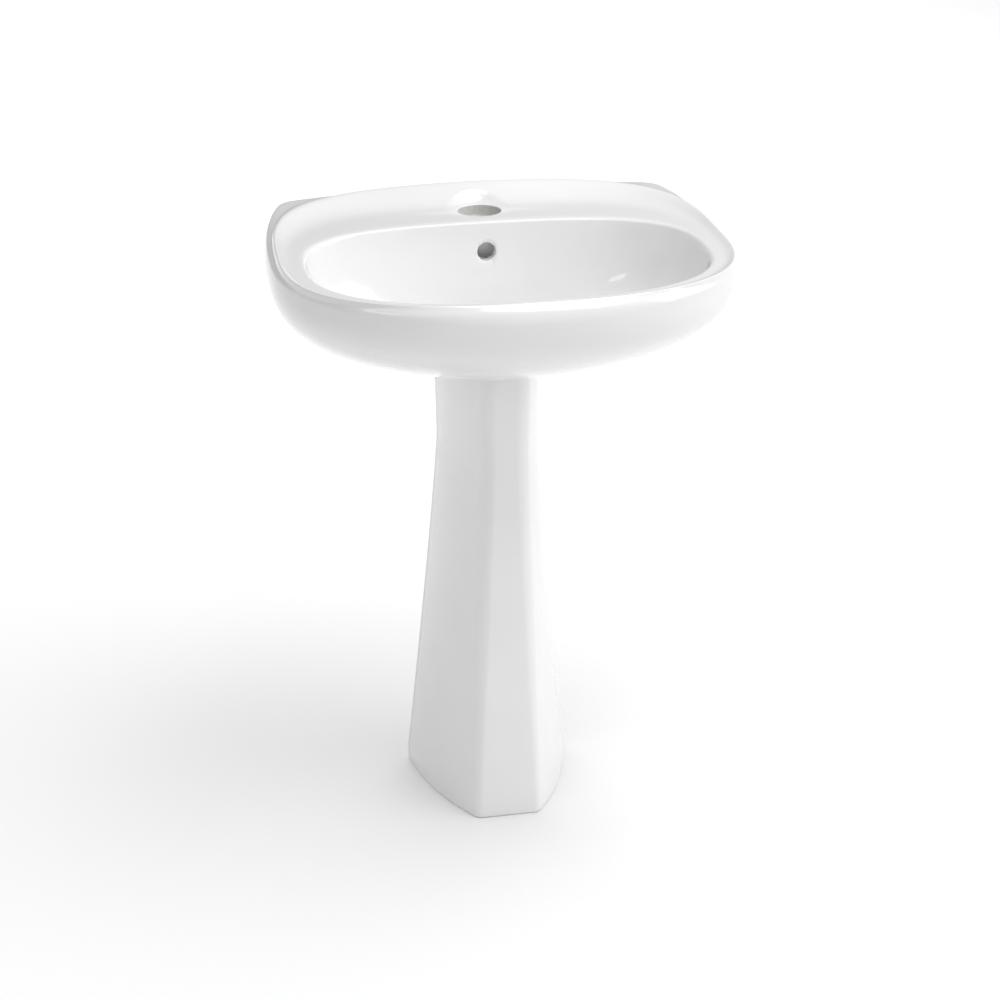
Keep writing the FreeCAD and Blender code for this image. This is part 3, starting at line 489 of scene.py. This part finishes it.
# ---------------------------------------------------------------- pedestal
def arc_points(a, b, c, count):
    """Points on the circle through three plan points, from the first towards the last."""
    ax, ay, bx, by, cx, cy = *a, *b, *c
    doubled = 2 * (ax * (by - cy) + bx * (cy - ay) + cx * (ay - by))
    ux = ((ax ** 2 + ay ** 2) * (by - cy) + (bx ** 2 + by ** 2) * (cy - ay)
          + (cx ** 2 + cy ** 2) * (ay - by)) / doubled
    uy = ((ax ** 2 + ay ** 2) * (cx - bx) + (bx ** 2 + by ** 2) * (ax - cx)
          + (cx ** 2 + cy ** 2) * (bx - ax)) / doubled
    start = math.atan2(ay - uy, ax - ux)
    sweep = (math.atan2(cy - uy, cx - ux) - start + math.pi) % (2 * math.pi) - math.pi
    radius = math.hypot(ax - ux, ay - uy)
    turns = start + sweep * np.arange(count) / count
    return [(ux + radius * math.cos(t), uy + radius * math.sin(t)) for t in turns]


def pedestal_section(height, wall):
    """One level outline of the pedestal, moved inwards by a wall thickness."""
    taper = max(0.0, 1 - max(0.0, height - 24) / 510.0) ** 1.12
    flare = 0.03 * (max(0.0, height - 510) / 140.0) ** 2
    width_share = (0.60 + 0.40 * taper) * (1 + flare)
    depth_share = 0.80 + 0.20 * taper
    middle = 220.0
    front = middle + (FOOT_FRONT - middle) * depth_share - wall
    rear = middle - (FOOT_DEPTH - FOOT_FRONT + middle) * depth_share + wall
    flat = 44.5 * width_share - wall * 0.4
    rear_half = FOOT_HALF * width_share - wall * 1.05
    bulge = 14.0 * width_share
    chord = math.hypot(rear_half - flat, front - rear)
    out_x = (front - rear) / chord
    out_d = (rear_half - flat) / chord

    def side(share):
        swell = 4 * bulge * share * (1 - share)
        return (flat + (rear_half - flat) * share + out_x * swell,
                front + (rear - front) * share + out_d * swell)

    softness = 1 - taper
    crease_start = flat - 5 - 7 * softness
    near = side(0.05 + 0.06 * softness)
    crease = (0.25 * crease_start + 0.5 * flat + 0.25 * near[0], 0.75 * front + 0.25 * near[1])
    right = [(x, front) for x in np.linspace(0, crease_start, 8, endpoint=False)]
    right += arc_points((crease_start, front), crease, near, 16)
    right += arc_points(near, side(0.5), side(0.96), 56)
    right += arc_points(side(0.96), (rear_half - 0.6, rear + 1.4), (rear_half - 4, rear), 8)
    right += [(x, rear) for x in np.linspace(rear_half - 4, 0, 10)]
    left = [(-x, d) for x, d in right[-2:0:-1]]
    return np.array([(x, d, height) for x, d in right + left])


heights = np.concatenate([[0, 0.4, 1.2, 2.1], np.linspace(FOOT_ROUND, 24, 6),
                          np.linspace(27, PEDESTAL_TOP, 130)])
outline = []
for z in heights:
    drop = max(0.0, FOOT_ROUND - z)
    inset_by = FOOT_ROUND - math.sqrt(FOOT_ROUND ** 2 - drop ** 2)
    outline.append(pedestal_section(z, inset_by))
pedestal = grid_object("pedestal_glazed", np.array(outline))
room = grid_object("room_tool", np.array([pedestal_section(z, PEDESTAL_WALL)
                                          for z in np.linspace(-5, PEDESTAL_TOP + 5, 90)]))
# Two lugs for the floor screws are left standing in the pedestal's foot.
for side in (-1, 1):
    middle_x = side * (SCREW_X + 8)
    combine(room, box_object("lug_tool", middle_x - 26, middle_x + 26, SCREW_D - 17,
                             SCREW_D + 17, -6, 16), "DIFFERENCE")
combine(pedestal, room, "DIFFERENCE")
# The open back: a slot that is wider at the foot than at the top.
gap = box_object("gap_tool", -1, 1, 45, 131, -5, PEDESTAL_TOP + 5)
for vert in gap.data.vertices:
    half_gap = FOOT_HALF * (0.72 if vert.co.z < 0 else 0.34)
    vert.co.x = math.copysign(half_gap / 1000, vert.co.x)
combine(pedestal, gap, "DIFFERENCE")
for side in (-1, 1):
    combine(pedestal, rod_object("screw_tool", SCREW_HOLE_RADIUS,
                                 (side * SCREW_X, WALL_Y - SCREW_D, -10),
                                 (side * SCREW_X, WALL_Y - SCREW_D, 30), 32), "DIFFERENCE")
combine(pedestal, filled, "DIFFERENCE")
finish_mesh(pedestal)

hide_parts("basin")
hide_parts("pedestal")
for piece in (basin, pedestal):
    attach(piece, "sink")


# ---------------------------------------------------------------- materials
def new_material(name, colour, roughness, metallic=0.0):
    """A node material with its main shader set up."""
    material = bpy.data.materials.new(name)
    material.use_nodes = True
    shader = material.node_tree.nodes["Principled BSDF"]
    shader.inputs["Base Color"].default_value = (*colour, 1.0)
    shader.inputs["Roughness"].default_value = roughness
    shader.inputs["Metallic"].default_value = metallic
    return material


def add_noise(material, scale, detail=4.0, stretch=(1, 1, 1)):
    """A noise texture in object space."""
    tree = material.node_tree
    place = tree.nodes.new("ShaderNodeTexCoord")
    mapping = tree.nodes.new("ShaderNodeMapping")
    mapping.inputs["Scale"].default_value = stretch
    noise = tree.nodes.new("ShaderNodeTexNoise")
    noise.inputs["Scale"].default_value = scale
    noise.inputs["Detail"].default_value = detail
    tree.links.new(place.outputs["Object"], mapping.inputs["Vector"])
    tree.links.new(mapping.outputs["Vector"], noise.inputs["Vector"])
    return noise.outputs["Fac"]


def spread(material, source, socket, low, high):
    """Sends a noise value to a shader socket between two limits."""
    tree = material.node_tree
    shader = tree.nodes["Principled BSDF"]
    if isinstance(low, tuple):
        ramp = tree.nodes.new("ShaderNodeValToRGB")
        ramp.color_ramp.elements[0].position = 0.3
        ramp.color_ramp.elements[1].position = 0.7
        ramp.color_ramp.elements[0].color = (*low, 1)
        ramp.color_ramp.elements[1].color = (*high, 1)
        tree.links.new(source, ramp.inputs["Fac"])
        tree.links.new(ramp.outputs["Color"], shader.inputs[socket])
    else:
        scale = tree.nodes.new("ShaderNodeMapRange")
        scale.inputs["To Min"].default_value = low
        scale.inputs["To Max"].default_value = high
        scale.inputs["From Min"].default_value = 0.3
        scale.inputs["From Max"].default_value = 0.7
        tree.links.new(source, scale.inputs["Value"])
        tree.links.new(scale.outputs["Result"], shader.inputs[socket])


def add_bump(material, source, strength, distance):
    """Relief from a noise value."""
    tree = material.node_tree
    bump = tree.nodes.new("ShaderNodeBump")
    bump.inputs["Strength"].default_value = strength
    bump.inputs["Distance"].default_value = distance
    tree.links.new(source, bump.inputs["Height"])
    tree.links.new(bump.outputs["Normal"], tree.nodes["Principled BSDF"].inputs["Normal"])


glaze = new_material("white_glaze", (0.87, 0.87, 0.868), 0.12)
glaze_shader = glaze.node_tree.nodes["Principled BSDF"]
glaze_shader.inputs["Coat Weight"].default_value = 0.6
glaze_shader.inputs["Coat Roughness"].default_value = 0.04
glaze_shader.inputs["IOR"].default_value = 1.52
spread(glaze, add_noise(glaze, 9.0, 3.0), "Base Color", (0.862, 0.862, 0.86), (0.884, 0.884, 0.882))
spread(glaze, add_noise(glaze, 55.0, 5.0), "Roughness", 0.09, 0.16)
add_bump(glaze, add_noise(glaze, 16.0, 2.0), 0.05, 0.0006)

chrome = new_material("chrome_plate", (0.80, 0.81, 0.82), 0.08, 1.0)
spread(chrome, add_noise(chrome, 120.0, 6.0), "Roughness", 0.05, 0.14)
brass = new_material("machined_brass", (0.72, 0.55, 0.25), 0.3, 1.0)
spread(brass, add_noise(brass, 300.0, 4.0, (1, 1, 12)), "Roughness", 0.22, 0.42)
zinc = new_material("zinc_plate", (0.62, 0.64, 0.67), 0.35, 1.0)
spread(zinc, add_noise(zinc, 180.0, 5.0), "Base Color", (0.52, 0.54, 0.56), (0.70, 0.71, 0.73))
spread(zinc, add_noise(zinc, 260.0, 5.0), "Roughness", 0.28, 0.5)
wire = new_material("spring_wire", (0.5, 0.51, 0.52), 0.3, 1.0)
spread(wire, add_noise(wire, 400.0, 3.0), "Roughness", 0.22, 0.4)
rubber = new_material("black_rubber", (0.02, 0.02, 0.021), 0.75)
spread(rubber, add_noise(rubber, 350.0, 5.0), "Roughness", 0.62, 0.85)
add_bump(rubber, add_noise(rubber, 500.0, 3.0), 0.3, 0.0002)
nylon = new_material("white_nylon", (0.8, 0.8, 0.76), 0.45)
spread(nylon, add_noise(nylon, 140.0, 4.0), "Roughness", 0.38, 0.55)
plastic = new_material("white_plastic", (0.8, 0.8, 0.79), 0.28)
spread(plastic, add_noise(plastic, 40.0, 4.0), "Base Color", (0.76, 0.76, 0.75), (0.82, 0.82, 0.81))
spread(plastic, add_noise(plastic, 160.0, 5.0), "Roughness", 0.22, 0.36)
add_bump(plastic, add_noise(plastic, 380.0, 3.0), 0.12, 0.0002)

by_slot = {"glaze": glaze, "chrome": chrome, "brass": brass, "zinc_steel": zinc,
           "spring_steel": wire, "rubber": rubber, "nylon": nylon, "white_plastic": plastic}
slot_of = {row["node"]: row["material_slot"] for row in frame["record"]["subparts"]}


def paint(piece, material):
    """Gives a piece one material."""
    piece.data.materials.clear()
    piece.data.materials.append(material)


# A darker grey than the glaze: painted shade that stands for the shade inside the tap seat.
seat_shade_paint = new_material("painted_seat_shade", (0.58, 0.575, 0.56), 0.8)
spread(seat_shade_paint, add_noise(seat_shade_paint, 220.0, 6.0), "Base Color", (0.54, 0.535, 0.52), (0.63, 0.625, 0.61))
spread(seat_shade_paint, add_noise(seat_shade_paint, 300.0, 5.0), "Roughness", 0.7, 0.9)
add_bump(seat_shade_paint, add_noise(seat_shade_paint, 700.0, 4.0), 0.3, 0.0003)

paint(basin, glaze)
paint(pedestal, glaze)
# The wall and floor of the tap seat get a darker matt grey: painted shade for the shadowed recess.
basin.data.materials.append(seat_shade_paint)
for face in basin.data.polygons:
    x, y, z = (1000 * value for value in face.center)
    from_axis = math.hypot(x, WALL_Y - y - TAP_D)
    if from_axis < RECESS_RADIUS + 0.05 and z > BOSS_LOW - 1:
        face.material_index = 1
for node, piece in frame["nodes"].items():
    for material_slot in piece.material_slots:
        material_slot.material = by_slot[slot_of[node]]


# ---------------------------------------------------------------- floor, light and camera
floor_mesh = bpy.data.meshes.new("floor")
floor_mesh.from_pydata([(-30, -30, 0), (30, -30, 0), (30, 30, 0), (-30, 30, 0)], [],
                       [(0, 1, 2, 3)])
floor = link("floor", floor_mesh)
floor_material = new_material("floor_white", (0.9, 0.9, 0.9), 0.9)
spread(floor_material, add_noise(floor_material, 3.0), "Roughness", 0.85, 0.95)
paint(floor, floor_material)


def area_light(name, place, aim, width, height, power):
    """A rectangular soft light aimed at a point."""
    light = bpy.data.lights.new(name, "AREA")
    light.shape = "RECTANGLE"
    light.size = width
    light.size_y = height
    light.energy = power
    lamp = bpy.data.objects.new(name, light)
    bpy.context.scene.collection.objects.link(lamp)
    lamp.location = place
    lamp.rotation_euler = (Vector(place) - Vector(aim)).to_track_quat("Z", "Y").to_euler()
    return lamp


world = bpy.data.worlds.new("studio")
bpy.context.scene.world = world
world.use_nodes = True
backdrop = world.node_tree.nodes["Background"]
backdrop.inputs["Color"].default_value = (1.0, 1.0, 1.0, 1.0)
backdrop.inputs["Strength"].default_value = 0.44
key_right = area_light("key_right", (2.6, -0.9, 1.5), (0, 0, 0.7), 2.2, 2.0, 25)
area_light("top", (0.7, -0.6, 2.6), (0, -0.1, 0.8), 1.6, 1.6, 30)
area_light("window_left", (-1.7, -1.7, 1.8), (0, -0.1, 0.8), 0.9, 0.3, 2)

# The key leaves the floor out, so that no long shadow falls across it.
all_but_floor = bpy.data.collections.new("all_but_floor")
all_but_floor.objects.link(floor)
all_but_floor.collection_objects[0].light_linking.link_state = "EXCLUDE"
key_right.light_linking.receiver_collection = all_but_floor

# These two light only the floor: it stays white far behind the sink and dimmer in front of it.
floor_only = bpy.data.collections.new("floor_only")
floor_only.objects.link(floor)
near_floor = area_light("near_floor", (0, 1.0, 3.5), (0, 1.0, 0), 6, 6, 85)
far_floor = area_light("far_floor", (0.8, 6.5, 2.5), (0.8, 6.5, 0), 8, 8, 180)
for lamp in (near_floor, far_floor):
    lamp.light_linking.receiver_collection = floor_only
bpy.context.scene.view_settings.view_transform = "Standard"

back = Vector((math.sin(CAMERA_TURN) * math.cos(CAMERA_RISE),
               -math.cos(CAMERA_TURN) * math.cos(CAMERA_RISE), math.sin(CAMERA_RISE)))
camera_data = bpy.data.cameras.new("camera")
camera_data.sensor_width = 36.0
camera_data.lens = CAMERA_LENS
camera = bpy.data.objects.new("camera", camera_data)
bpy.context.scene.collection.objects.link(camera)
camera.location = Vector(CAMERA_TARGET) + back * CAMERA_DISTANCE
aim = back.to_track_quat("Z", "Y") @ Quaternion((0, 0, 1), CAMERA_ROLL)
camera.rotation_euler = aim.to_euler()
bpy.context.scene.camera = camera
